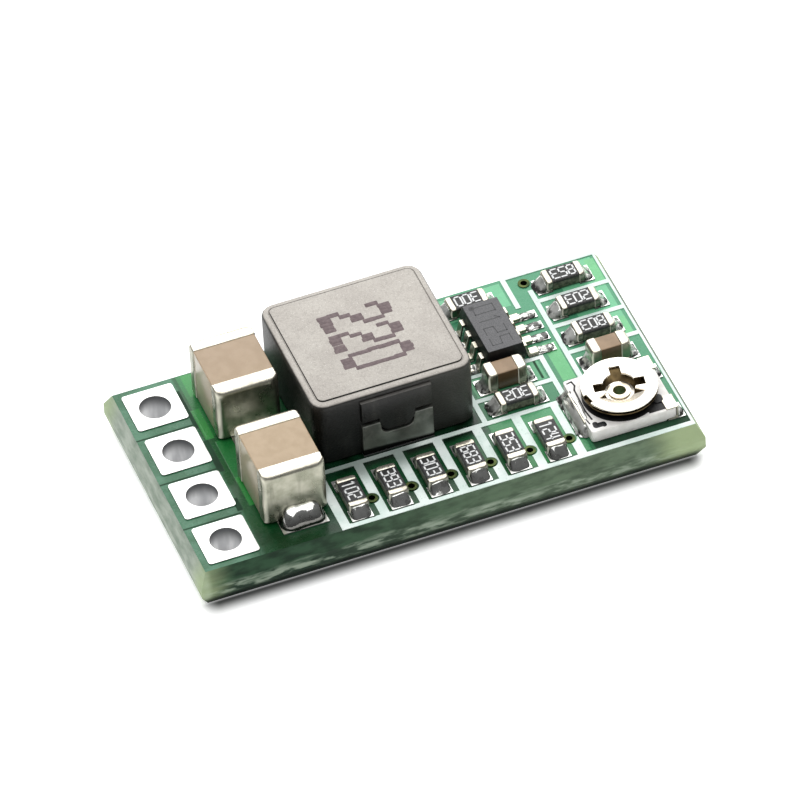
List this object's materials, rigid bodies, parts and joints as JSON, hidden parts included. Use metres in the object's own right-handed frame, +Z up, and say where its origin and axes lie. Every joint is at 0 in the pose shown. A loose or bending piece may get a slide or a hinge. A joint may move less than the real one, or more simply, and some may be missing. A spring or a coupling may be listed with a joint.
{
  "type": "buck converter module",
  "caption": "Small step-down converter on a green board with a row of plated holes, a square power inductor, chip parts and a trimmer whose rotor turns.",
  "frame": {"origin": "middle of the board's underside", "axes": "+X along the board from the plated holes to the trimmer, +Y from the resistor row to the back edge, +Z up out of the side with the parts"},
  "size_m": [0.02, 0.0108, 0.0046],
  "materials": {
    "solder_mask": "glossy green solder mask over copper on glass-epoxy laminate",
    "tinned_pad": "bright tinned copper",
    "via_copper": "pale yellow plated copper",
    "white_ink": "matt white ink",
    "pressed_iron": "pressed and coated iron powder, light warm grey on top",
    "copper_wire": "enamelled copper",
    "strap_metal": "dull tinned copper",
    "tan_ceramic": "smooth tan ceramic",
    "brown_ceramic": "smooth brown ceramic",
    "end_metal": "bright tin plate",
    "resistor_body": "black glass over white ceramic",
    "black_mould": "moulded black epoxy",
    "silicon": "bare silicon",
    "white_ceramic": "unglazed white ceramic",
    "black_track": "printed resistive ink",
    "gold_metal": "pale gold plated metal",
    "rotor_metal": "bright nickel plate",
    "solder": "shiny solder"
  },
  "bodies": {
    "module": {"capacitor_front_body": "tan_ceramic", "capacitor_front_ends": "end_metal", "capacitor_rear_body": "tan_ceramic", "capacitor_rear_ends": "end_metal", "inductor_coil": "copper_wire", "inductor_core": "pressed_iron", "inductor_strap_front": "strap_metal", "inductor_strap_rear": "strap_metal", "jumper_pads": "tinned_pad", "lands": "tinned_pad", "print_bottom": "white_ink", "print_top": "white_ink", "regulator_body": "black_mould", "regulator_die": "silicon", "regulator_leads": "end_metal", "resistor_10_body": "resistor_body", "resistor_10_ends": "end_metal", "resistor_11_body": "resistor_body", "resistor_11_ends": "end_metal", "resistor_1_body": "resistor_body", "resistor_1_ends": "end_metal", "resistor_2_body": "resistor_body", "resistor_2_ends": "end_metal", "resistor_3_body": "resistor_body", "resistor_3_ends": "end_metal", "resistor_4_body": "resistor_body", "resistor_4_ends": "end_metal", "resistor_5_body": "resistor_body", "resistor_5_ends": "end_metal", "resistor_6_body": "resistor_body", "resistor_6_ends": "end_metal", "resistor_7_body": "resistor_body", "resistor_7_ends": "end_metal", "resistor_8_body": "resistor_body", "resistor_8_ends": "end_metal", "resistor_9_body": "resistor_body", "resistor_9_ends": "end_metal", "small_capacitor_1_body": "brown_ceramic", "small_capacitor_1_ends": "end_metal", "small_capacitor_2_body": "brown_ceramic", "small_capacitor_2_ends": "end_metal", "solder_capacitors": "solder", "solder_regulator": "solder", "solder_resistors": "solder", "solder_trimmer": "solder", "terminal_1": "tinned_pad", "terminal_2": "tinned_pad", "terminal_3": "tinned_pad", "terminal_4": "tinned_pad", "trimmer_base": "white_ceramic", "trimmer_end_terminals": "end_metal", "trimmer_eyelet": "gold_metal", "trimmer_track": "black_track", "trimmer_wiper_terminal": "end_metal", "vias": "via_copper", "wiring_board": "solder_mask"},
    "rotor": {"trimmer_driver": "rotor_metal", "trimmer_wiper": "gold_metal"}
  },
  "joints": [
    {"name": "trimmer_turn", "type": "hinge", "parent": "module", "child": "rotor", "pos_m": [0.00751, -0.00304, 0.00215], "axis": [0, 0, 1], "range_deg": [-120, 120]}
  ]
}
